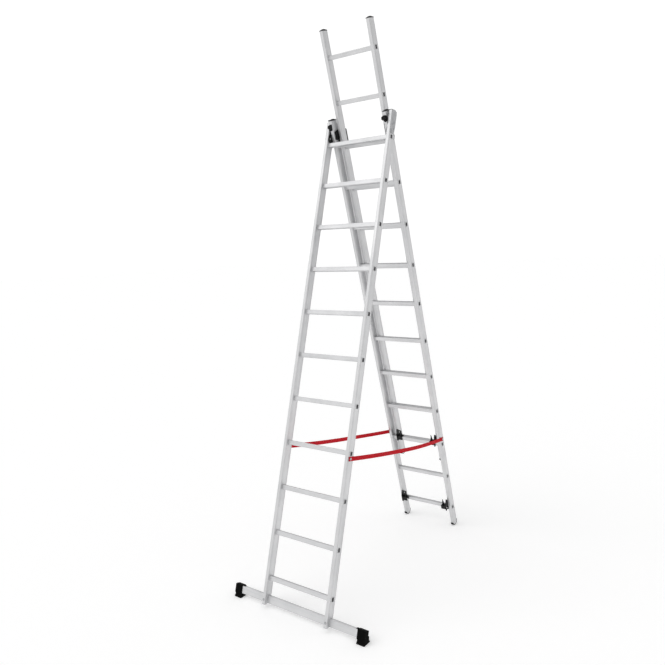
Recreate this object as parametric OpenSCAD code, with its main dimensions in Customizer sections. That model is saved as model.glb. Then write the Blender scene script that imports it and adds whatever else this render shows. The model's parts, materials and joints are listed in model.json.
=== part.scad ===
// Three-section combination ladder standing as a step ladder with its third section raised.
// Each section is drawn in its own frame: X across the ladder, Y from the front face to the
// back face of the stiles, Z up along the stiles, origin on the axis of the bottom rung.

/* [Ladder] */
// Number of rungs in each section
rung_count = 11; // [6:1:14]
// Distance from one rung to the next
pitch = 280; // [250:5:300]
// Angle between the front and the rear legs when the ladder stands open
open_angle = 32; // [24:1:36]
// Rungs that the upper section is raised by
raised = 2; // [0:1:6]

/* [Stiles] */
// Overall width of the front section
front_w = 500; // [480:1:560]
// Overall width of the rear section
rear_w = 438; // [430:1:440]
// Overall width of the upper section
upper_w = 374; // [366:1:376]
// Thickness of a stile across the ladder
stile_t = 22; // [20:1:23]
// Depth of a stile from its front face to its back face
stile_d = 58; // [52:1:58]
// Wall of the hollow stile
stile_wall = 1.8; // [1.4:0.1:3]
// Stile above the top rung
stile_head = 165; // [150:1:200]
// Front stile below the bottom rung
front_tail = 160; // [150:1:180]
// Rear stile below the bottom rung
rear_tail = 160; // [140:1:180]
// Upper stile below the bottom rung
upper_tail = 150; // [120:1:150]

/* [Rungs] */
// Height of a rung
rung_h = 28; // [24:1:30]
// Depth of a rung
rung_d = 24; // [20:1:25]
// Wall of the hollow rung
rung_wall = 1.6; // [1.2:0.1:3]

/* [Nesting and hinge] */
// Distance between the rungs of the rear and the upper section
nest = 42; // [42:0.5:50]
// How far a hooked section's rungs hang below those that it hangs on
drop = 18; // [17:0.5:19]
// Hinge axis, which is the rear section's top rung, behind the front section's top rung
hinge_n = 56; // [56:1:64]
// Hinge axis above the front section's top rung
hinge_s = 19; // [19:0.5:22]

/* [Stabiliser] */
// Overall length of the stabiliser with its feet
beam_span = 1000; // [800:1:1200]
// Height of the stabiliser tube
beam_h = 46; // [40:1:60]
// Depth of the stabiliser tube
beam_d = 25; // [20:1:30]
// Height of the tube's centre above the floor
beam_rise = 49; // [45:1:60]

/* [Straps] */
// Width of the webbing
strap_w = 27; // [20:1:30]
// Length from the front bolt to the fold
strap_front_len = 717; // [700:1:717]
// Extra length over the taut distance
strap_slack = 0.5; // [0.2:0.1:2]

/* [Hidden] */
$fn = 48;
lap = 1;                                  // overshoot of a cutting tool
front_in = front_w / 2 - stile_t;         // inner face of a front stile
rear_in = rear_w / 2 - stile_t;
upper_in = upper_w / 2 - stile_t;
half_d = stile_d / 2;
top_rung = (rung_count - 1) * pitch;
stile_r = 3;                              // corner of the stile profile
rung_r = 3;                               // corner of the rung profile
flare = 2.5;                              // swaged rim around a rung at the stile's outer face
flare_t = 1.2;
bead_t = 2.5;                             // swaged bead at the stile's inner face
gap = 0.4;                                // clearance between parts that move past each other

// Points are written [n, s]: n towards the back of the section, s up along it.
function turn(p, a) = [p[0] * cos(a) - p[1] * sin(a), p[0] * sin(a) + p[1] * cos(a)];

hinge = [hinge_n, top_rung + hinge_s];
rear_origin = hinge + turn([0, -top_rung], open_angle);

// The beam lies in a notch in the back half of each front stile.
beam_front = -4;
beam_up = 7;                              // underside of the beam above the stile's end
beam_c = [beam_front + beam_d / 2, beam_up - front_tail + beam_h / 2];
foot_r = half_d + 4;                      // round foot, from its centre to its tread
rear_foot_c = [0, -rear_tail + half_d];
rear_foot_at = rear_origin + turn(rear_foot_c, open_angle);
reach = rear_foot_at - beam_c;
lean = acos((foot_r - beam_rise) / norm(reach)) - atan2(reach[0], reach[1]);
sole_d = 58;                              // depth of a stabiliser foot's sole
base_z = beam_rise - beam_c[1] * cos(lean) + beam_c[0] * sin(lean);
rear_y = rear_foot_at[0] * cos(lean) + rear_foot_at[1] * sin(lean);
front_y = -half_d * cos(lean) - front_tail * sin(lean);
base_y = -(front_y + rear_y + foot_r) / 2;

// Straps: front bolt and rear rivet on the stiles, and the fold between the two halves.
strap_t = 1.6;
strap_front = [-6, 3 * pitch - 30];
strap_rear = rear_origin + turn([6, 2 * pitch + 41], open_angle);
strap_run = norm(strap_rear - strap_front);
strap_rear_len = strap_run + strap_slack - strap_front_len;
strap_dir = (strap_rear - strap_front) / strap_run;
fold_along = (strap_run * strap_run + strap_front_len * strap_front_len
    - strap_rear_len * strap_rear_len) / (2 * strap_run);
fold_below = sqrt(strap_front_len * strap_front_len - fold_along * fold_along);
strap_fold = strap_front + strap_dir * fold_along + [strap_dir[1], -strap_dir[0]] * fold_below;
strap_x = front_w / 2 + 1.6;              // inner face of the front half
strap_end_x = rear_w / 2 + 1.8;           // inner face of the rear half at its rivet
rivet_d = 8;
head_d = 16;

// ---- frames -------------------------------------------------------------------------------

module in_front() {
    translate([0, base_y, base_z]) rotate([-lean, 0, 0]) children();
}

module in_rear() {
    in_front() translate([0, rear_origin[0], rear_origin[1]]) rotate([open_angle, 0, 0]) children();
}

module in_upper() {
    in_rear() translate([0, nest, raised * pitch - drop]) children();
}

// Children are drawn for the right side; the left side is their mirror image.
module on(side) {
    if (side == "left") mirror([1, 0, 0]) children();
    else children();
}

module both() {
    for (side = ["left", "right"]) on(side) children();
}

// ---- shapes -------------------------------------------------------------------------------

// Flat outline with round corners, centred
module round_rect(w, h, r) {
    square([w - 2 * r, h], center = true);
    square([w, h - 2 * r], center = true);
    for (x = [-1, 1], y = [-1, 1]) translate([x * (w / 2 - r), y * (h / 2 - r)]) circle(r);
}

// An outline drawn in [n, s] stood up in the section's frame, thick across the ladder from x
module plate(x, thick) {
    translate([x, 0, 0]) rotate([90, 0, 90]) linear_extrude(thick) children();
}

// Round bar across the ladder from x, centred on the point p
module across(x, length, d, p) {
    translate([x, p[0], p[1]]) rotate([0, 90, 0]) cylinder(h = length, d = d);
}

module stile_profile() {
    groove = 0.6;
    difference() {
        round_rect(stile_t, stile_d, stile_r);
        round_rect(stile_t - 2 * stile_wall, stile_d - 2 * stile_wall, stile_r - stile_wall + 0.4);
        for (x = [-1, 1], y = [-1, 1])
            translate([x * stile_t / 2, y * (half_d - 9)]) square([2 * groove, 3], center = true);
    }
}

// One hollow stile with its rung openings; the outer face is at x = width / 2
module stile(width, tail) {
    mid = width / 2 - stile_t / 2;
    difference() {
        translate([mid, 0, -tail]) linear_extrude(tail + top_rung + stile_head) stile_profile();
        for (k = [0 : rung_count - 1])
            translate([mid - stile_t, 0, k * pitch]) rotate([90, 0, 90])
                linear_extrude(2 * stile_t) round_rect(rung_d, rung_h, rung_r);
    }
}

// Stile whose foot is cut round
module round_ended_stile(width, tail) {
    inside = width / 2 - stile_t;
    difference() {
        stile(width, tail);
        translate([inside - lap, -half_d - lap, -tail - lap])
            cube([stile_t + 2 * lap, stile_d + 2 * lap, half_d + lap]);
    }
    intersection() {
        translate([width / 2 - stile_t / 2, 0, -tail]) linear_extrude(half_d) stile_profile();
        across(inside - lap, stile_t + 2 * lap, stile_d, [0, half_d - tail]);
    }
}

// Rubber foot of such a stile: a round tread around its end and a plug inside it
module round_foot(width, tail) {
    inside = width / 2 - stile_t;
    inner_t = stile_t - 2 * stile_wall - gap;
    inner_d = stile_d - 2 * stile_wall - gap;
    plug = 40;
    centre = [0, half_d - tail];
    difference() {
        across(inside - 0.5, stile_t + 1, 2 * foot_r, centre);
        across(inside - lap, stile_t + 2 * lap, stile_d, centre);
        translate([inside - lap, -foot_r - lap, centre[1] - 4])
            cube([stile_t + 2 * lap, 2 * foot_r + 2 * lap, 2 * foot_r]);
    }
    intersection() {
        translate([width / 2 - stile_t / 2, 0, -tail - 2]) linear_extrude(half_d + plug)
            round_rect(inner_t, inner_d, 1.2);
        translate([inside, 0, 0]) union() {
            across(0, stile_t, stile_d + 2, centre);
            translate([0, -half_d, centre[1]]) cube([stile_t, stile_d, plug]);
        }
    }
}

module rung_profile() {
    flute = 0.7;
    difference() {
        round_rect(rung_d, rung_h, rung_r);
        round_rect(rung_d - 2 * rung_wall, rung_h - 2 * rung_wall, rung_r - rung_wall + 0.4);
        for (k = [-2 : 2], y = [-1, 1])
            translate([k * 3.6, y * rung_h / 2]) square([1.4, 2 * flute], center = true);
    }
}

module rung_rim(x, thick, rim) {
    plate(x, thick) difference() {
        round_rect(rung_d + 2 * rim, rung_h + 2 * rim, rung_r + rim);
        round_rect(rung_d - 2, rung_h - 2, rung_r - 1);
    }
}

// One rung through both stiles, swaged inside and outside each of them.  Where it passes
// through the stiles the tube keeps its plain outline, so the flutes stop at the beads.
module rung(width) {
    inside = width / 2 - stile_t;
    plate(-inside + bead_t, 2 * (inside - bead_t)) rung_profile();
    both() {
        plate(inside - bead_t - lap, bead_t + lap + stile_t + flare_t) difference() {
            round_rect(rung_d, rung_h, rung_r);
            round_rect(rung_d - 2 * rung_wall, rung_h - 2 * rung_wall, rung_r - rung_wall + 0.4);
        }
        rung_rim(inside - bead_t, bead_t, 2);
        rung_rim(width / 2, flare_t, flare);
    }
}

module rungs(width) {
    for (k = [0 : rung_count - 1]) translate([0, 0, k * pitch]) rung(width);
}

// Plastic cap on the head of a stile, with a plug inside the tube; brim is how far it stands
// out over the stile's outer face
module cap(width, brim = 0.5) {
    inner_t = stile_t - 2 * stile_wall - gap;
    inner_d = stile_d - 2 * stile_wall - gap;
    inside = width / 2 - stile_t - 0.5;
    outside = width / 2 + brim;
    edge = half_d + 0.5;
    translate([0, 0, top_rung + stile_head]) {
        intersection() {
            plate(inside, outside - inside)
                polygon([[-edge, 0], [edge, 0], [edge, 3], [8, 11], [-8, 11], [-edge, 3]]);
            translate([0, edge + lap, 0]) rotate([90, 0, 0]) linear_extrude(2 * edge + 2 * lap)
                polygon([[inside, 0], [outside, 0], [outside, 3], [outside - 8, 11],
                    [inside + 8, 11], [inside, 3]]);
        }
        translate([width / 2 - stile_t / 2, 0, -30]) linear_extrude(30 + lap)
            round_rect(inner_t, inner_d, 1.2);
    }
}

// ---- front section ------------------------------------------------------------------------

module front_stile() {
    bolt_x = front_w / 2 - stile_t / 2;
    difference() {
        stile(front_w, front_tail);
        translate([front_in - lap, beam_front, -front_tail - lap])
            cube([stile_t + 2 * lap, stile_d, beam_up + beam_h + lap]);
        for (p = hinge_rivet_points()) across(front_in - lap, stile_t + 2 * lap, 6, p);
        translate([bolt_x, -half_d - lap, beam_c[1]]) rotate([-90, 0, 0])
            cylinder(h = 10, d = 8);
        across(front_w / 2 - stile_wall - lap, 6, rivet_d, strap_front);
    }
}

module stabiliser_beam() {
    length = beam_span - 16;
    difference() {
        translate([-length / 2, beam_c[0], beam_c[1]]) rotate([90, 0, 90]) linear_extrude(length)
            difference() {
                round_rect(beam_d, beam_h, 2.5);
                round_rect(beam_d - 4, beam_h - 4, 1);
            }
        both() translate([front_w / 2 - stile_t / 2, beam_front - lap, beam_c[1]])
            rotate([-90, 0, 0]) cylinder(h = beam_d + 2 * lap, d = 8.1);
    }
}

// Carriage bolts that hold the beam to the stiles, with their nuts
module stabiliser_bolts() {
    both() translate([front_w / 2 - stile_t / 2, 0, beam_c[1]]) rotate([-90, 0, 0]) {
        translate([0, 0, -half_d]) cylinder(h = half_d + beam_front + beam_d, d = 8);
        translate([0, 0, -half_d - 4]) cylinder(h = 4, d1 = 10, d2 = 17);
        translate([0, 0, beam_front + beam_d]) cylinder(h = 2, d = 18);
        translate([0, 0, beam_front + beam_d + 2 - 0.1]) cylinder(h = 7, d = 15, $fn = 6);
        translate([0, 0, beam_front + beam_d + 2]) cylinder(h = 11, d = 8);
    }
}

// Foot pushed over the end of the beam; its sole is level when the ladder stands open
module stabiliser_foot() {
    foot_w = 54;
    x0 = beam_span / 2 - foot_w;
    shell = 5;
    end_wall = 8;
    sole_z = -beam_rise;
    fin = 14;
    difference() {
        translate([x0, beam_c[0], beam_c[1]]) union() {
            rotate([90, 0, 90]) linear_extrude(foot_w)
                round_rect(beam_d + 2 * shell, beam_h + 2 * shell, 4);
            rotate([lean, 0, 0]) rotate([90, 0, 90]) linear_extrude(foot_w) difference() {
                polygon([[-18, -12], [-20, sole_z + 14], [-sole_d / 2, sole_z + 7],
                    [-sole_d / 2, sole_z], [sole_d / 2, sole_z], [sole_d / 2, sole_z + 7],
                    [22, sole_z + 14], [24, -12]]);
                for (k = [-2 : 2]) translate([k * 10, sole_z]) square([3, 5], center = true);
            }
            translate([-fin, -8, beam_h / 2 + 0.5]) cube([fin + lap, 16, shell - 1]);
        }
        plate(x0 - lap, foot_w - end_wall + lap) translate(beam_c)
            round_rect(beam_d, beam_h, 2.5);
    }
}

function hinge_rivet_points() = [[-12, top_rung + 42], [14, top_rung + 54], [-8, top_rung + 78],
    [10, top_rung + 92]];

// Steel plate on the stile's outer face, round at the head and narrow above the top rung's end
module hinge_plate() {
    head = top_rung + stile_head - 18;
    edge = half_d - 4;
    difference() {
        union() {
            across(front_w / 2, 3, 2 * edge + 1, [0, head]);
            plate(front_w / 2, 3) polygon([[-edge, head + 3], [edge, head + 3],
                [edge, top_rung + 66], [10, top_rung + 20], [-14, top_rung + 20],
                [-edge, top_rung + 34]]);
        }
        for (p = hinge_rivet_points()) across(front_w / 2 - lap, 3 + 2 * lap, 6, p);
    }
}

// Steel arm on the stile's inner face that reaches back to the rear section's top rung
module hinge_arm() {
    boss = 13;
    t = 5;
    difference() {
        plate(front_in - t, t) {
            translate(hinge) circle(boss);
            polygon([[-24, top_rung + 30], [-14, top_rung + 18.5], [16, top_rung + 18.5],
                [30, top_rung + 9], hinge + [0, -boss], hinge + [boss * 0.8, boss * 0.6],
                [16, top_rung + 102], [-4, top_rung + 102], [-24, top_rung + 54]]);
        }
        across(front_in - t - lap, t + 2 * lap, 10.1, hinge);
        for (p = hinge_rivet_points()) across(front_in - t - lap, t + 2 * lap, 6.1, p);
    }
}

// Rivets through plate, stile and arm
module hinge_rivets() {
    both() for (p = hinge_rivet_points()) {
        across(front_in - 5 - 1.6, stile_t + 5 + 3 + 3.2, 6, p);
        across(front_in - 5 - 1.8, 1.8, 10, p);
        across(front_w / 2 + 3, 2.4, 11, p);
    }
}

// Hinge bolt from the arm into the bush in the end of the rear section's top rung
module hinge_bolts() {
    both() {
        across(rear_in, front_in - rear_in, 10, hinge);
        across(front_in, 5, 18, hinge);
        across(rear_w / 2 + flare_t + gap, front_in - 5 - rear_w / 2 - flare_t - gap, 18, hinge);
    }
}

module strap_bolts() {
    both() {
        across(front_w / 2 - 4, strap_x + strap_t + gap - front_w / 2 + 4 + lap, rivet_d, strap_front);
        across(front_w / 2, strap_x - gap - front_w / 2, head_d, strap_front);
        across(strap_x + strap_t + gap, 3, head_d, strap_front);
    }
}

// ---- rear section -------------------------------------------------------------------------

knob_s = top_rung + 128;
pad_low = top_rung + 40;
pad_high = top_rung + 100;
bracket_low = top_rung - 4;
bracket_high = top_rung + 98;

module rear_stile() {
    difference() {
        round_ended_stile(rear_w, rear_tail);
        translate([rear_w / 2 - stile_t / 2, -half_d - lap, knob_s]) rotate([-90, 0, 0])
            cylinder(h = stile_d + 2 * lap, d = 8.2);
    }
}

// Bushes in the ends of the top rung that turn on the hinge bolts
module hinge_bushes() {
    both() difference() {
        plate(rear_in - 2, stile_t + 2 + flare_t) translate([0, top_rung])
            round_rect(rung_d - 2 * rung_wall, rung_h - 2 * rung_wall, rung_r - rung_wall + 0.4);
        across(rear_in - 2 - lap, stile_t + 6, 10.1, [0, top_rung]);
    }
}

// Bracket behind the rear stile that reaches around the back of the upper section's stile
module guide_bracket() {
    t = 3;
    web_x = upper_w / 2 + 3.6;
    back = nest + half_d + 3;
    high = bracket_high - bracket_low;
    difference() {
        union() {
            translate([web_x, half_d, bracket_low]) cube([rear_w / 2 - web_x, t, high]);
            translate([rear_in, half_d, bracket_low]) cube([stile_t, t, knob_s + 16 - bracket_low]);
            translate([web_x, half_d, bracket_low]) cube([t, back + t - half_d, high]);
            plate(upper_in - 2, web_x - upper_in + 2 + t) translate([back, bracket_low])
                polygon([[0, 0], [t, 8], [t, high - 8], [0, high]]);
        }
        translate([rear_w / 2 - stile_t / 2, half_d - lap, knob_s]) rotate([-90, 0, 0])
            cylinder(h = t + 2 * lap, d = 8.2);
    }
}

// Thin ribbed slide block on the rear stile's inner face, beside the upper section's stile
module guide_pad() {
    thick = 9;
    front_n = -16;
    back_n = 26;
    tail_n = 17;
    x0 = rear_in - thick;
    rib = 5.5;
    difference() {
        plate(x0, thick) polygon([[front_n, pad_low], [tail_n, pad_low], [tail_n, pad_low - 18],
            [back_n, pad_low - 18], [back_n, pad_high + 3], [front_n, pad_high - 6]]);
        for (k = [0 : 3]) translate([x0 - lap, front_n + rib + k * (rib + 4), pad_low + 6])
            cube([3 + lap, 4, pad_high]);
    }
}

// Plastic plate under the knob, with a lip over the stile's outer edge
module knob_plate() {
    thick = 4;
    low = knob_s - 26;
    difference() {
        union() {
            translate([rear_in + 3, -half_d - thick, low + 9]) cube([stile_t - 3, thick, 32]);
            translate([rear_w / 2 - 9, -half_d - thick, low + 9]) rotate([-90, 0, 0])
                cylinder(h = thick, d = 18);
            translate([rear_w / 2 - lap, -half_d - thick, low + 4]) cube([1.6 + lap, 14, 34]);
        }
        translate([rear_in - lap, -half_d, low - 20]) cube([stile_t + lap, stile_d, 80]);
        translate([rear_w / 2 - stile_t / 2, -half_d - thick - lap, knob_s]) rotate([-90, 0, 0])
            cylinder(h = thick + 2 * lap, d = 8.2);
    }
}

// Round knob with its bolt through the stile
module guide_knob() {
    translate([rear_w / 2 - stile_t / 2, 0, knob_s]) rotate([90, 0, 0]) {
        difference() {
            translate([0, 0, half_d + 9]) cylinder(h = 13, d = 27);
            for (k = [0 : 7]) rotate(k * 45) translate([15, 0, half_d + 11]) cylinder(h = 20, d = 5);
        }
        translate([0, 0, half_d + 4 + gap]) cylinder(h = 5, d = 17);
        translate([0, 0, -half_d - 12]) cylinder(h = stile_d + 18, d = 8);
        translate([0, 0, -half_d - 3 - gap - 5]) cylinder(h = 5, d = 14, $fn = 6);
    }
}

// ---- hooks and latches, the same on the rear and the upper section --------------------------

latch_n = -21;
latch_s = -0.3;

function hook_rivets() = [[-4, 30], [-20, 52]];

// Hook that hangs over the rung of the section in front; inside is the stile's inner face
module hook(inside) {
    slot_front = -nest - rung_d / 2 - 0.6;
    slot_back = -nest + rung_d / 2 + 0.6;
    crotch = drop + rung_h / 2 + gap;
    saddle = 46;
    difference() {
        union() {
            plate(inside - 5, 5) polygon([[slot_front - 7, -2], [slot_front, -2],
                [slot_front, crotch], [slot_back, crotch], [slot_back, latch_s - 8],
                [-14, latch_s - 8], [-14, rung_h / 2 + 3], [10, rung_h / 2 + 3], [10, 44],
                [-22, 72], [-nest, 90], [slot_front - 7, 48]]);
            plate(inside - saddle, saddle) polygon([[slot_front - 3, 6], [slot_front, 6],
                [slot_front, crotch], [slot_back, crotch], [slot_back, 6], [slot_back + 3, 6],
                [slot_back + 3, crotch + 3], [slot_front - 3, crotch + 3]]);
            plate(inside - saddle / 2 - 12, 4) polygon([[slot_front - 3, crotch + 2],
                [slot_back + 3, crotch + 2], [-nest, 84]]);
        }
        across(inside - 5 - lap, 5 + 2 * lap, 5, [latch_n, latch_s]);
        for (p = hook_rivets()) across(inside - 5 - lap, 6 + lap, 6, p);
    }
}

module hook_rivet_pair(inside) {
    for (p = hook_rivets()) {
        across(inside - 5.2, 5.2, 6, p);
        across(inside - 7, 2, 11, p);
    }
}

// Latch that closes the mouth of the hook, with its pin
module latch(inside) {
    front = -nest - rung_d / 2 - 6;
    plate(inside - 5 - gap - 4, 4) {
        translate([latch_n, latch_s]) circle(6.5);
        translate([front + 3, latch_s - 3]) square([latch_n - front - 3, 6]);
        translate([front + 3, latch_s]) circle(3);
        translate([latch_n - 14, latch_s - 6]) square([9, 6]);
    }
    across(inside - 5 - gap - lap, 5 + lap, 4.9, [latch_n, latch_s]);
}

// ---- straps -------------------------------------------------------------------------------

module strap_strip(length) {
    translate([0, -strap_w / 2]) square([length, strap_w]);
    circle(d = strap_w);
    translate([length, 0]) circle(d = strap_w);
}

// Front half, from the bolt on the front stile to the fold
module strap_front_half() {
    difference() {
        plate(strap_x, strap_t) translate(strap_front)
            rotate(atan2(strap_fold[1] - strap_front[1], strap_fold[0] - strap_front[0]))
                strap_strip(strap_front_len);
        across(strap_x - lap, 5, rivet_d + 0.1, strap_front);
    }
}

// Rear half, from the fold to the rivet; it slants inwards to the narrower rear section
module strap_rear_half() {
    start_x = strap_x - strap_t - 3 * gap;
    slant = atan2(start_x - strap_end_x, strap_rear_len);
    difference() {
        translate([start_x, strap_fold[0], strap_fold[1]])
            rotate([atan2(strap_rear[1] - strap_fold[1], strap_rear[0] - strap_fold[0]), 0, 0])
                rotate([0, 0, slant]) rotate([90, 0, 90]) linear_extrude(strap_t)
                    strap_strip(strap_rear_len / cos(slant));
        across(strap_end_x - 12, 40, rivet_d, strap_rear);
    }
}

module strap_rivet() {
    across(strap_end_x - 0.6, strap_t + 1.6, rivet_d, strap_rear);
    across(strap_end_x + strap_t + 0.6, 2.4, head_d, strap_rear);
}

// ---- drawing ------------------------------------------------------------------------------

alu = [0.80, 0.81, 0.82];
steel = [0.66, 0.67, 0.68];
black = [0.08, 0.08, 0.09];
red = [0.72, 0.10, 0.14];

color(alu) in_front() on("left") front_stile();  // front_stile_left
color(alu) in_front() on("right") front_stile();  // front_stile_right
color(alu) in_front() rungs(front_w);  // front_rungs
color(black) in_front() on("left") cap(front_w, -gap);  // front_cap_left
color(black) in_front() on("right") cap(front_w, -gap);  // front_cap_right
color(alu) in_front() stabiliser_beam();
color(black) in_front() on("left") stabiliser_foot();  // stabiliser_foot_left
color(black) in_front() on("right") stabiliser_foot();  // stabiliser_foot_right
color(steel) in_front() stabiliser_bolts();
color(steel) in_front() on("left") hinge_plate();  // hinge_plate_left
color(steel) in_front() on("right") hinge_plate();  // hinge_plate_right
color(black) in_front() on("left") hinge_arm();  // hinge_arm_left
color(black) in_front() on("right") hinge_arm();  // hinge_arm_right
color(steel) in_front() hinge_rivets();
color(steel) in_front() hinge_bolts();
color(steel) in_front() strap_bolts();
color(alu) in_rear() on("left") rear_stile();  // rear_stile_left
color(alu) in_rear() on("right") rear_stile();  // rear_stile_right
color(alu) in_rear() rungs(rear_w);  // rear_rungs
color(black) in_rear() on("left") cap(rear_w);  // rear_cap_left
color(black) in_rear() on("right") cap(rear_w);  // rear_cap_right
color(black) in_rear() on("left")  // rear_foot_left
    round_foot(rear_w, rear_tail);
color(black) in_rear() on("right")  // rear_foot_right
    round_foot(rear_w, rear_tail);
color(black) in_rear() hinge_bushes();
color(black) in_rear() on("left") guide_bracket();  // guide_bracket_left
color(black) in_rear() on("right") guide_bracket();  // guide_bracket_right
color(black) in_rear() on("left") guide_pad();  // guide_pad_left
color(black) in_rear() on("right") guide_pad();  // guide_pad_right
color(black) in_rear() on("left") knob_plate();  // knob_plate_left
color(black) in_rear() on("right") knob_plate();  // knob_plate_right
color(black) in_rear() on("left") guide_knob();  // guide_knob_left
color(black) in_rear() on("right") guide_knob();  // guide_knob_right
color(black) in_rear() on("left") hook(rear_in);  // rear_hook_left
color(black) in_rear() on("right") hook(rear_in);  // rear_hook_right
color(steel) in_rear() both() hook_rivet_pair(rear_in);  // rear_hook_rivets
color(black) in_rear() on("left") latch(rear_in);  // rear_latch_left
color(black) in_rear() on("right") latch(rear_in);  // rear_latch_right
color(alu) in_upper() on("left")  // upper_stile_left
    round_ended_stile(upper_w, upper_tail);
color(alu) in_upper() on("right")  // upper_stile_right
    round_ended_stile(upper_w, upper_tail);
color(alu) in_upper() rungs(upper_w);  // upper_rungs
color(black) in_upper() on("left") cap(upper_w);  // upper_cap_left
color(black) in_upper() on("right") cap(upper_w);  // upper_cap_right
color(black) in_upper() on("left")  // upper_foot_left
    round_foot(upper_w, upper_tail);
color(black) in_upper() on("right")  // upper_foot_right
    round_foot(upper_w, upper_tail);
color(black) in_upper() on("left") hook(upper_in);  // upper_hook_left
color(black) in_upper() on("right") hook(upper_in);  // upper_hook_right
color(steel) in_upper() both() hook_rivet_pair(upper_in);  // upper_hook_rivets
color(black) in_upper() on("left") latch(upper_in);  // upper_latch_left
color(black) in_upper() on("right") latch(upper_in);  // upper_latch_right
color(red) in_front() on("left") strap_front_half();  // strap_front_left
color(red) in_front() on("right") strap_front_half();  // strap_front_right
color(red) in_front() on("left") strap_rear_half();  // strap_rear_left
color(red) in_front() on("right") strap_rear_half();  // strap_rear_right
color(steel) in_front() on("left") strap_rivet();  // strap_rivet_left
color(steel) in_front() on("right") strap_rivet();  // strap_rivet_right
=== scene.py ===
import json
import math
import bpy
import bmesh
from mathutils import Matrix, Vector


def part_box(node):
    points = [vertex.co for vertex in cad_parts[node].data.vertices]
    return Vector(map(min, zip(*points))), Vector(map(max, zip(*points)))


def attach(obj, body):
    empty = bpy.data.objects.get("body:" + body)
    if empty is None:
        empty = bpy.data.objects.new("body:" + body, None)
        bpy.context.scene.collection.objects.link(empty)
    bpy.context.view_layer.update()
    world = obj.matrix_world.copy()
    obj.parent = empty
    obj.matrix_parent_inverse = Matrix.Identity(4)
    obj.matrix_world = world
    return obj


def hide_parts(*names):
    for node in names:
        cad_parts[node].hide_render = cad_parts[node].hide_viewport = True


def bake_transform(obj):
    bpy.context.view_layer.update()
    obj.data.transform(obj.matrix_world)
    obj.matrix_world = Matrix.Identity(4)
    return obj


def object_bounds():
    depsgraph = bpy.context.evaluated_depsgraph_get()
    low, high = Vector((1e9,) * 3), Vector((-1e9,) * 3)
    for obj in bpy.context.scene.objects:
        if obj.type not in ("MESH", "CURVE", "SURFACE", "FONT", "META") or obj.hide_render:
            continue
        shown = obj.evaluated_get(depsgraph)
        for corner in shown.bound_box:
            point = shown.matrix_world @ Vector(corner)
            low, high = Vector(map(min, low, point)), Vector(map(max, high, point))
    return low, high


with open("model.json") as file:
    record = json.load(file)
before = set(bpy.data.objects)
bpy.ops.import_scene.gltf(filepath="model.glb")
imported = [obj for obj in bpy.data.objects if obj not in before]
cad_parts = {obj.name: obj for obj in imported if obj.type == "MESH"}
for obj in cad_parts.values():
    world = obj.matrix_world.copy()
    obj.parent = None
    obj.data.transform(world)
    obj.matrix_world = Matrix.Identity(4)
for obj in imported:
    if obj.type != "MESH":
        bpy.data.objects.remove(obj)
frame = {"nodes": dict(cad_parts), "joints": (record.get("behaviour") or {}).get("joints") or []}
cad_low, cad_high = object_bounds()
nodes = frame["nodes"]
joints = {j["name"]: j for j in frame["joints"]}
SIDES = {"left": -1, "right": 1}


# ---- directions of the two legs, from the frame ---------------------------------------------

slide_axis = Vector(joints["upper_slide"]["axis"]).normalized()
FOLD_TRAVEL = math.radians(joints["leg_fold"]["range_deg"][1])
REAR_LEAN = math.atan2(-slide_axis.y, slide_axis.z)
FRONT_LEAN = FOLD_TRAVEL - REAR_LEAN


# ---- meshes ---------------------------------------------------------------------------------

def add_mesh(name, bm, material):
    """Puts a finished bmesh into the scene as one object."""
    mesh = bpy.data.meshes.new(name)
    bm.to_mesh(mesh)
    bm.free()
    obj = bpy.data.objects.new(name, mesh)
    bpy.context.scene.collection.objects.link(obj)
    obj.data.materials.append(material)
    return obj


def smooth(bm):
    for face in bm.faces:
        face.smooth = True


# ---- material building blocks ---------------------------------------------------------------

def new_material(name, colour, metallic, roughness, specular=0.5):
    mat = bpy.data.materials.new(name)
    mat.use_nodes = True
    mat.diffuse_color = (*colour, 1)
    bsdf = mat.node_tree.nodes["Principled BSDF"]
    bsdf.inputs["Base Color"].default_value = (*colour, 1)
    bsdf.inputs["Metallic"].default_value = metallic
    bsdf.inputs["Roughness"].default_value = roughness
    bsdf.inputs["Specular IOR Level"].default_value = specular
    return mat, mat.node_tree, bsdf


def coordinates(tree, turn=(0, 0, 0), stretch=(1, 1, 1)):
    """Object coordinates, turned and then stretched."""
    coord = tree.nodes.new("ShaderNodeTexCoord")
    turned = tree.nodes.new("ShaderNodeMapping")
    turned.inputs["Rotation"].default_value = turn
    tree.links.new(coord.outputs["Object"], turned.inputs["Vector"])
    scaled = tree.nodes.new("ShaderNodeMapping")
    scaled.inputs["Scale"].default_value = stretch
    tree.links.new(turned.outputs["Vector"], scaled.inputs["Vector"])
    return scaled.outputs["Vector"]


def noise(tree, vector, scale, detail=3.0, roughness=0.5):
    node = tree.nodes.new("ShaderNodeTexNoise")
    node.inputs["Scale"].default_value = scale
    node.inputs["Detail"].default_value = detail
    node.inputs["Roughness"].default_value = roughness
    tree.links.new(vector, node.inputs["Vector"])
    return node.outputs["Fac"]


def remap(tree, value, low, high, out_low, out_high):
    node = tree.nodes.new("ShaderNodeMapRange")
    node.inputs["From Min"].default_value = low
    node.inputs["From Max"].default_value = high
    node.inputs["To Min"].default_value = out_low
    node.inputs["To Max"].default_value = out_high
    tree.links.new(value, node.inputs["Value"])
    return node.outputs["Result"]


def combine(tree, operation, a, b):
    node = tree.nodes.new("ShaderNodeMath")
    node.operation = operation
    for socket, value in zip(node.inputs, (a, b)):
        if isinstance(value, (int, float)):
            socket.default_value = value
        else:
            tree.links.new(value, socket)
    return node.outputs["Value"]


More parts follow.
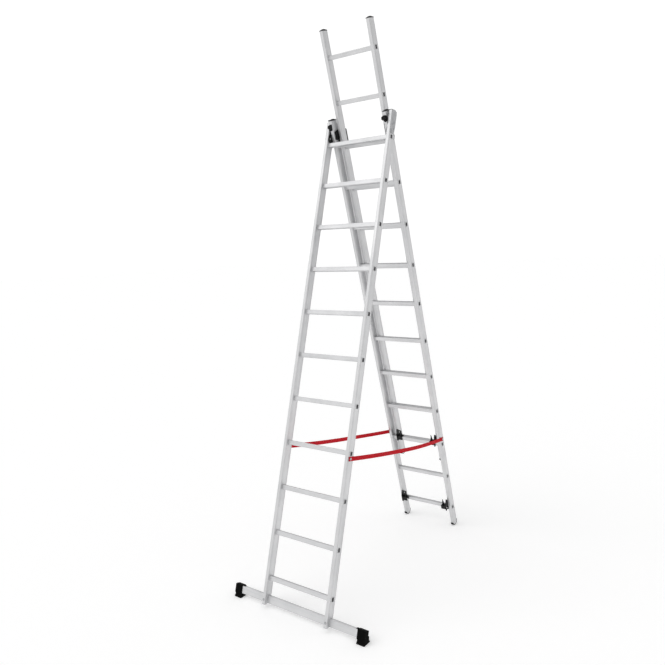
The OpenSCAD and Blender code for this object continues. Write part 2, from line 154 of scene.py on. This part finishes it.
def blend_colours(tree, factor, first, second):
    node = tree.nodes.new("ShaderNodeMix")
    node.data_type = "RGBA"
    for key, value in (("A", first), ("B", second)):
        socket = [s for s in node.inputs if s.name == key and s.type == "RGBA"][0]
        if isinstance(value, tuple):
            socket.default_value = (*value, 1)
        else:
            tree.links.new(value, socket)
    tree.links.new(factor, node.inputs["Factor"])
    return [s for s in node.outputs if s.type == "RGBA"][0]


def separate(tree, vector):
    node = tree.nodes.new("ShaderNodeSeparateXYZ")
    tree.links.new(vector, node.inputs["Vector"])
    return node.outputs


def bump(tree, bsdf, height, strength, distance):
    node = tree.nodes.new("ShaderNodeBump")
    node.inputs["Strength"].default_value = strength
    node.inputs["Distance"].default_value = distance
    tree.links.new(height, node.inputs["Height"])
    tree.links.new(node.outputs["Normal"], bsdf.inputs["Normal"])


# ---- materials ------------------------------------------------------------------------------

ALU_LIGHT = (0.70, 0.70, 0.708)
ALU_DULL = (0.60, 0.604, 0.612)


def aluminium(name, turn, along):
    """Mill-finish extrusion: die lines run along one axis, over a soft haze and a few scuffs."""
    mat, tree, bsdf = new_material(name, ALU_LIGHT, 0.92, 0.4)
    stretch = [0.012 if axis == along else 1.0 for axis in "xyz"]
    lines = noise(tree, coordinates(tree, turn, stretch), 620, 4.0, 0.6)
    broad = noise(tree, coordinates(tree, turn, stretch), 90, 2.0)
    haze = noise(tree, coordinates(tree, turn), 7, 4.0, 0.6)
    scuff = noise(tree, coordinates(tree, turn, [0.35, 1, 1]), 130, 5.0, 0.7)
    scuffed = remap(tree, scuff, 0.66, 0.74, 0.0, 0.5)
    dull = combine(tree, "ADD", remap(tree, haze, 0.35, 0.7, 0.0, 0.6),
                   remap(tree, broad, 0.35, 0.65, 0.0, 0.35))
    dull = combine(tree, "MAXIMUM", dull, scuffed)
    tree.links.new(blend_colours(tree, dull, ALU_LIGHT, ALU_DULL), bsdf.inputs["Base Color"])
    rough = combine(tree, "ADD", remap(tree, lines, 0.3, 0.7, 0.33, 0.47),
                    remap(tree, dull, 0.0, 1.0, 0.0, 0.12))
    tree.links.new(rough, bsdf.inputs["Roughness"])
    relief = combine(tree, "ADD", lines, combine(tree, "MULTIPLY", broad, 0.6))
    bump(tree, bsdf, relief, 0.35, 0.00025)
    return mat


def zinc_steel():
    """Bright zinc plating, with its faint crystals and cloudy patches."""
    light = (0.52, 0.525, 0.535)
    dark = (0.38, 0.385, 0.395)
    mat, tree, bsdf = new_material("zinc_steel", light, 0.9, 0.4)
    vector = coordinates(tree)
    crystals = tree.nodes.new("ShaderNodeTexVoronoi")
    crystals.inputs["Scale"].default_value = 220
    tree.links.new(vector, crystals.inputs["Vector"])
    grain = remap(tree, crystals.outputs["Distance"], 0.0, 0.8, 0.0, 0.5)
    cloud = remap(tree, noise(tree, vector, 45, 4.0), 0.35, 0.7, 0.0, 0.5)
    shade = combine(tree, "ADD", grain, cloud)
    tree.links.new(blend_colours(tree, shade, light, dark), bsdf.inputs["Base Color"])
    tree.links.new(remap(tree, shade, 0.0, 1.0, 0.3, 0.5), bsdf.inputs["Roughness"])
    bump(tree, bsdf, noise(tree, vector, 900, 3.0), 0.15, 0.0002)
    return mat


def black_steel():
    """Black powder coat: orange-peel skin with a few rubbed spots where bare steel shows."""
    coat = (0.005, 0.005, 0.0055)
    rubbed = (0.09, 0.09, 0.093)
    mat, tree, bsdf = new_material("black_powder_coat", coat, 0.0, 0.38, 0.24)
    vector = coordinates(tree)
    peel = noise(tree, vector, 700, 3.0, 0.55)
    patch = noise(tree, vector, 120, 6.0, 0.72)
    worn = remap(tree, patch, 0.67, 0.73, 0.0, 0.7)
    tree.links.new(blend_colours(tree, worn, coat, rubbed), bsdf.inputs["Base Color"])
    tree.links.new(remap(tree, peel, 0.3, 0.7, 0.3, 0.46), bsdf.inputs["Roughness"])
    bump(tree, bsdf, peel, 0.3, 0.0003)
    return mat


def black_plastic():
    """Moulded black plastic: fine spark texture, soft sheen and pale handling marks."""
    body = (0.0045, 0.0045, 0.005)
    rubbed = (0.013, 0.013, 0.014)
    mat, tree, bsdf = new_material("moulded_plastic", body, 0.0, 0.5, 0.2)
    vector = coordinates(tree)
    grain = noise(tree, vector, 1600, 2.0)
    patch = noise(tree, vector, 60, 5.0, 0.65)
    worn = remap(tree, patch, 0.52, 0.72, 0.0, 0.8)
    tree.links.new(blend_colours(tree, worn, body, rubbed), bsdf.inputs["Base Color"])
    tree.links.new(remap(tree, patch, 0.3, 0.7, 0.42, 0.6), bsdf.inputs["Roughness"])
    bump(tree, bsdf, grain, 0.35, 0.0002)
    return mat


def rubber():
    """Matt black rubber, a little dusty low down where it meets the floor."""
    body = (0.0025, 0.0025, 0.0025)
    dust = (0.014, 0.0135, 0.013)
    mat, tree, bsdf = new_material("moulded_rubber", body, 0.0, 0.78, 0.06)
    vector = coordinates(tree)
    grain = noise(tree, vector, 1100, 3.0, 0.6)
    patch = noise(tree, vector, 80, 5.0, 0.65)
    near_floor = remap(tree, separate(tree, vector)["Z"], 0.0, 0.03, 0.5, 0.0)
    dusty = combine(tree, "MULTIPLY", near_floor, remap(tree, patch, 0.35, 0.7, 0.2, 1.0))
    tree.links.new(blend_colours(tree, dusty, body, dust), bsdf.inputs["Base Color"])
    tree.links.new(remap(tree, patch, 0.3, 0.7, 0.7, 0.88), bsdf.inputs["Roughness"])
    bump(tree, bsdf, grain, 0.4, 0.0003)
    return mat


WEB_W = 0.027
WEB_RED = (0.64, 0.008, 0.020)
WEB_DARK = (0.42, 0.005, 0.012)


def webbing():
    """Woven polyester: ribs across the band and herringbone rows along it, from its own UV map,
    where one unit is the width of the band."""
    mat, tree, bsdf = new_material("woven_webbing", WEB_RED, 0.0, 0.7, 0.12)
    uv = tree.nodes.new("ShaderNodeUVMap")
    uv.uv_map = "band"
    band = separate(tree, uv.outputs["UV"])
    rows = 7
    ribs_per_width = 20
    # each row slants the other way, so the ribs run as a herringbone
    saw = combine(tree, "PINGPONG", combine(tree, "MULTIPLY", band["Y"], rows), 1.0)
    slanted = combine(tree, "ADD", combine(tree, "MULTIPLY", band["X"], ribs_per_width), saw)
    rib = combine(tree, "SINE", combine(tree, "MULTIPLY", slanted, 2 * math.pi), 0.0)
    groove = combine(tree, "ABSOLUTE", combine(tree, "SUBTRACT", saw, 0.5), 0.0)
    height = combine(tree, "SUBTRACT", remap(tree, rib, -1.0, 1.0, 0.0, 1.0), groove)
    fuzz = noise(tree, coordinates(tree), 2600, 2.0)
    height = combine(tree, "ADD", height, combine(tree, "MULTIPLY", fuzz, 0.35))
    fade = remap(tree, noise(tree, coordinates(tree), 9, 3.0), 0.3, 0.7, 0.0, 0.25)
    # painted shade: the red darkens towards WEB_DARK where the weave's height is low, in its
    # grooves; the fade added to it is a random faded tone of the dye
    shade = combine(tree, "ADD", remap(tree, height, -0.3, 1.1, 0.75, 0.0), fade)
    tree.links.new(blend_colours(tree, shade, WEB_RED, WEB_DARK), bsdf.inputs["Base Color"])
    tree.links.new(remap(tree, height, -0.3, 1.1, 0.85, 0.6), bsdf.inputs["Roughness"])
    bump(tree, bsdf, height, 0.6, 0.0004)
    return mat


def thread():
    """Twisted polyester thread of the stitching."""
    mat, tree, bsdf = new_material("stitching_thread", WEB_DARK, 0.0, 0.6, 0.15)
    twist = noise(tree, coordinates(tree), 4000, 1.0)
    tree.links.new(blend_colours(tree, twist, WEB_DARK, WEB_RED), bsdf.inputs["Base Color"])
    bump(tree, bsdf, twist, 0.5, 0.0001)
    return mat


STILE_FRONT = aluminium("aluminium_front_stiles", (FRONT_LEAN, 0, 0), "z")
STILE_REAR = aluminium("aluminium_rear_stiles", (-REAR_LEAN, 0, 0), "z")
RUNG_FRONT = aluminium("aluminium_front_rungs", (FRONT_LEAN, 0, 0), "x")
RUNG_REAR = aluminium("aluminium_rear_rungs", (-REAR_LEAN, 0, 0), "x")
ZINC = zinc_steel()
POWDER = black_steel()
PLASTIC = black_plastic()
RUBBER = rubber()
WEBBING = webbing()
THREAD = thread()


# ---- finishes of the CAD nodes --------------------------------------------------------------

# (start of the node's name, material, rounding of its edges in metres)
FINISHES = (
    ("front_stile", STILE_FRONT, 0),
    ("rear_stile", STILE_REAR, 0),
    ("upper_stile", STILE_REAR, 0),
    ("front_rungs", RUNG_FRONT, 0),
    ("rear_rungs", RUNG_REAR, 0),
    ("upper_rungs", RUNG_REAR, 0),
    ("stabiliser_beam", RUNG_FRONT, 0),
    ("stabiliser_foot", RUBBER, 0.0016),
    ("stabiliser_bolts", ZINC, 0.0004),
    ("front_cap", PLASTIC, 0.0010),
    ("rear_cap", PLASTIC, 0.0010),
    ("upper_cap", PLASTIC, 0.0010),
    ("rear_foot", RUBBER, 0.0007),
    ("upper_foot", RUBBER, 0.0007),
    ("hinge_plate", ZINC, 0.0006),
    ("hinge_arm", POWDER, 0.0008),
    ("hinge_rivets", ZINC, 0.0006),
    ("hinge_bolts", ZINC, 0.0005),
    ("hinge_bushes", PLASTIC, 0.0004),
    ("strap_bolts", ZINC, 0.0007),
    ("strap_rivet", ZINC, 0.0007),
    ("guide_bracket", POWDER, 0.0006),
    ("guide_pad", PLASTIC, 0.0008),
    ("knob_plate", PLASTIC, 0.0008),
    ("guide_knob", PLASTIC, 0.0010),
    ("rear_hook_rivets", ZINC, 0.0006),
    ("upper_hook_rivets", ZINC, 0.0006),
    ("rear_hook_", POWDER, 0.0008),
    ("upper_hook_", POWDER, 0.0008),
    ("rear_latch", POWDER, 0.0006),
    ("upper_latch", POWDER, 0.0006),
)


FLAT_ANGLE = 1.5                          # faces that meet at less than this are merged
EDGE_ANGLE = 38                           # edges sharper than this are rounded


def soften(obj, width):
    """Merges the triangles of flat faces and rounds the sharp edges, as modifiers."""
    merged = obj.modifiers.new("merge_flats", "DECIMATE")
    merged.decimate_type = "DISSOLVE"
    merged.angle_limit = math.radians(FLAT_ANGLE)
    rounded = obj.modifiers.new("round_edges", "BEVEL")
    rounded.width = width
    rounded.segments = 2
    rounded.limit_method = "ANGLE"
    rounded.angle_limit = math.radians(EDGE_ANGLE)


def finish_node(name, obj):
    for start, material, rounding in FINISHES:
        if name.startswith(start):
            obj.data.materials.clear()
            obj.data.materials.append(material)
            if rounding:
                soften(obj, rounding)
            return


for node_name, node_object in nodes.items():
    finish_node(node_name, node_object)


# ---- webbing straps -------------------------------------------------------------------------

WEB_T = 0.0011
HEM_LENGTH = 0.052
END_MARGIN = WEB_W / 2                    # band past the bolt and past the rivet
SAG = 0.0145
STEP = 0.006                              # length of one row of faces
REAR_STAND_OFF = 0.0009                   # band's inner face from the CAD strip's, at the rivet
BEND_REACH = 0.06                         # bend_start and bend_end are taken this far each side of the fold
# across the band: (share of the half width, share of the half thickness)
SECTION = ((-1.0, 0.0), (-0.96, 0.75), (-0.86, 1.0), (-0.45, 0.85), (0.0, 0.9), (0.45, 0.85),
           (0.86, 1.0), (0.96, 0.75), (1.0, 0.0), (0.96, -0.75), (0.86, -1.0), (0.45, -0.85),
           (0.0, -0.9), (-0.45, -0.85), (-0.86, -1.0), (-0.96, -0.75))


def middle(name):
    low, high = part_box(name)
    return (low + high) / 2


class StrapPath:
    """Centre line of one strap at rest, from the front bolt to the rear rivet."""

    def __init__(self, side):
        sign = SIDES[side]
        bolt = middle("strap_bolts")
        rivet = middle("strap_rivet_" + side)
        front_low, front_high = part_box("strap_front_" + side)
        rear_low, rear_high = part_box("strap_rear_" + side)
        edge = rear_low.x if sign > 0 else rear_high.x
        self.sign = sign
        self.front_x = (front_low.x + front_high.x) / 2
        self.rear_x = edge + sign * REAR_STAND_OFF
        self.start = Vector((0, bolt.y, bolt.z))
        self.end = Vector((0, rivet.y, rivet.z))
        self.fold = Vector((0, front_high.y - WEB_W / 2, front_low.z + WEB_W / 2))
        self.chord = self.end - self.start
        self.length = self.chord.length
        self.fold_share = (self.fold - self.start).dot(self.chord) / self.length ** 2

    def point(self, distance):
        """Point at that distance along the chord; before the bolt and past the rivet too."""
        share = distance / self.length
        inner = min(max(share, 0.0), 1.0)
        place = self.start + self.chord * share
        place.z -= 4 * SAG * inner * (1 - inner)
        turn_in = min(max((share - self.fold_share) / (1 - self.fold_share), 0.0), 1.0)
        eased = turn_in * turn_in * (1.6 - 0.6 * turn_in)
        place.x = self.front_x + (self.rear_x - self.front_x) * eased
        return place

    def frame_at(self, distance):
        """Point, direction along and direction across the band."""
        near = 0.001
        along = (self.point(distance + near) - self.point(distance - near)).normalized()
        across = Vector((self.sign, 0, 0)).cross(along).normalized()
        return self.point(distance), along, across


def band_rings(bm, path, start, stop, offset):
    """Rows of points around the band, each with its distance along the path."""
    count = max(2, round((stop - start) / STEP))
    rings = []
    for i in range(count + 1):
        distance = start + (stop - start) * i / count
        place, along, across = path.frame_at(distance)
        out = along.cross(across) * path.sign
        if out.x * path.sign < 0:
            out = -out
        ring = []
        for u, v in SECTION:
            shift = offset + WEB_T / 2 * v
            ring.append(bm.verts.new(place + across * (u * WEB_W / 2) + out * shift))
        rings.append((distance, ring))
    return rings


def band_mesh(name, path, start, stop, offset):
    """A woven band from start to stop along the path; offset moves it out from the path."""
    bm = bmesh.new()
    uv_layer = bm.loops.layers.uv.new("band")
    rings = band_rings(bm, path, start, stop, offset)
    size = len(SECTION)
    for (d0, a), (d1, b) in zip(rings, rings[1:]):
        for k in range(size):
            m = (k + 1) % size
            face = bm.faces.new((a[k], a[m], b[m], b[k]))
            u0, u1 = SECTION[k][0] / 2, SECTION[m][0] / 2
            values = ((d0 / WEB_W, u0), (d0 / WEB_W, u1), (d1 / WEB_W, u1), (d1 / WEB_W, u0))
            for loop, value in zip(face.loops, values):
                loop[uv_layer].uv = value
    for distance, ring in (rings[0], rings[-1]):
        face = bm.faces.new(ring)
        for loop, (u, v) in zip(face.loops, SECTION):
            loop[uv_layer].uv = (distance / WEB_W + v * 0.02, u / 2)
    bmesh.ops.recalc_face_normals(bm, faces=bm.faces)
    smooth(bm)
    return add_mesh(name, bm, WEBBING)


def stitch_rows():
    """Ends of the stitch lines of a boxed cross, as metres along and across the band."""
    near, far, half = 0.0145, 0.0395, 0.0095
    corners = [(near, -half), (far, -half), (far, half), (near, half)]
    lines = list(zip(corners, corners[1:] + corners[:1]))
    return lines + [(corners[0], corners[2]), (corners[1], corners[3])]


def stitches(name, path, origin, direction, body):
    """Sewn box of short raised threads that holds a hem, on the band's outer face.  It starts at
    origin and direction says which way it runs along the path."""
    pitch, length, radius = 0.0031, 0.0024, 0.00028
    bm = bmesh.new()
    for (a0, c0), (a1, c1) in stitch_rows():
        span = math.hypot(a1 - a0, c1 - c0)
        count = max(1, int(span / pitch))
        for i in range(count):
            share = (i + 0.5) / count
            distance = origin + direction * (a0 + (a1 - a0) * share)
            place, along, across = path.frame_at(distance)
            centre = place + across * (c0 + (c1 - c0) * share)
            centre.x += path.sign * WEB_T
            heading = (along * direction * (a1 - a0) + across * (c1 - c0)).normalized()
            outward = Vector((path.sign, 0, 0))
            width = heading.cross(outward).normalized()
            spin = Matrix((heading, width, outward)).transposed().to_4x4()
            squeeze = Matrix.Diagonal((length / 2, radius, radius * 0.8, 1))
            bmesh.ops.create_icosphere(bm, subdivisions=1, radius=1,
                                       matrix=Matrix.Translation(centre) @ spin @ squeeze)
    smooth(bm)
    obj = add_mesh(name, bm, THREAD)
    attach(obj, body)
    return obj


def strap(side):
    """A band from bolt to rivet, and at each end a hem folded inside it and its stitches."""
    path = StrapPath(side)
    front_body = side + "_strap_front"
    rear_body = side + "_strap_rear"
    start = -END_MARGIN
    stop = path.length + END_MARGIN
    band = band_mesh("strap_webbing_" + side, path, start, stop, WEB_T / 2)
    fold = path.fold_share * path.length
    bend_start = path.point(fold - BEND_REACH)
    bend_end = path.point(fold + BEND_REACH)
    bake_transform(band)
    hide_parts("strap_front_" + side, "strap_rear_" + side)
    for end, body, a, b, origin, direction in (
            ("front", front_body, start, start + HEM_LENGTH, 0.0, 1),
            ("rear", rear_body, stop - HEM_LENGTH, stop, path.length, -1)):
        hem = band_mesh("strap_hem_%s_%s" % (end, side), path, a, b, -WEB_T / 2)
        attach(hem, body)
        stitches("strap_stitches_%s_%s" % (end, side), path, origin, direction, body)


for side in SIDES:
    strap(side)


# ---- floor, light and camera ----------------------------------------------------------------

centre = (cad_low + cad_high) / 2
base = Vector((centre.x, centre.y, cad_low.z))
FLOOR_HALF = 60
WHITE = (1, 1, 1, 1)


def floor():
    """Pale floor that glows a little, so the shadows on it stay faint."""
    mat, tree, bsdf = new_material("pale_floor", (0.9, 0.9, 0.9), 0.0, 0.9, 0.0)
    bsdf.inputs["Emission Color"].default_value = WHITE
    bsdf.inputs["Emission Strength"].default_value = 0.22
    bm = bmesh.new()
    bmesh.ops.create_grid(bm, x_segments=1, y_segments=1, size=FLOOR_HALF)
    obj = add_mesh("floor", bm, mat)
    obj.location = base


def sun(name, azimuth, elevation, strength, angle):
    """Soft distant light; azimuth 0 shines along +Y and 90 along -X."""
    data = bpy.data.lights.new(name, "SUN")
    data.energy = strength
    data.angle = math.radians(angle)
    obj = bpy.data.objects.new(name, data)
    turn = Matrix.Rotation(math.radians(azimuth), 3, "Z")
    tip = Matrix.Rotation(math.radians(90 - elevation), 3, "X")
    obj.rotation_euler = (turn @ tip).to_euler()
    bpy.context.scene.collection.objects.link(obj)


def studio():
    """White surround whose light falls off towards the zenith, and two soft lights above."""
    world = bpy.data.worlds.new("studio")
    bpy.context.scene.world = world
    world.use_nodes = True
    tree = world.node_tree
    background = tree.nodes["Background"]
    background.inputs["Color"].default_value = WHITE
    coord = tree.nodes.new("ShaderNodeTexCoord")
    direction = separate(tree, coord.outputs["Generated"])
    lighting = remap(tree, direction["Z"], 0.0, 0.75, 0.95, 0.42)
    path = tree.nodes.new("ShaderNodeLightPath")
    # the camera sees the surround as plain white
    seen = combine(tree, "MULTIPLY", path.outputs["Is Camera Ray"], 1.05)
    strength = combine(tree, "MAXIMUM", lighting, seen)
    tree.links.new(strength, background.inputs["Strength"])
    sun("key", -28, 48, 0.8, 60)
    sun("top", 0, 88, 0.5, 80)


CAMERA_PLACE = Vector((2.4514, -3.6248, 2.2219))        # from the middle of the object's base
YAW, PITCH, ROLL = (math.radians(angle) for angle in (36.869, -7.739, -2.472))


def camera():
    """Right of the front and 2.2 m above the floor."""
    data = bpy.data.cameras.new("camera")
    data.sensor_width = 36
    data.lens = 35.78
    data.clip_end = 200
    obj = bpy.data.objects.new("camera", data)
    turn = (Matrix.Rotation(YAW, 3, "Z") @ Matrix.Rotation(math.pi / 2 + PITCH, 3, "X")
            @ Matrix.Rotation(ROLL, 3, "Z"))
    obj.rotation_euler = turn.to_euler()
    obj.location = base + CAMERA_PLACE
    bpy.context.scene.collection.objects.link(obj)
    bpy.context.scene.camera = obj


floor()
studio()
camera()
bpy.context.scene.view_settings.view_transform = "Standard"
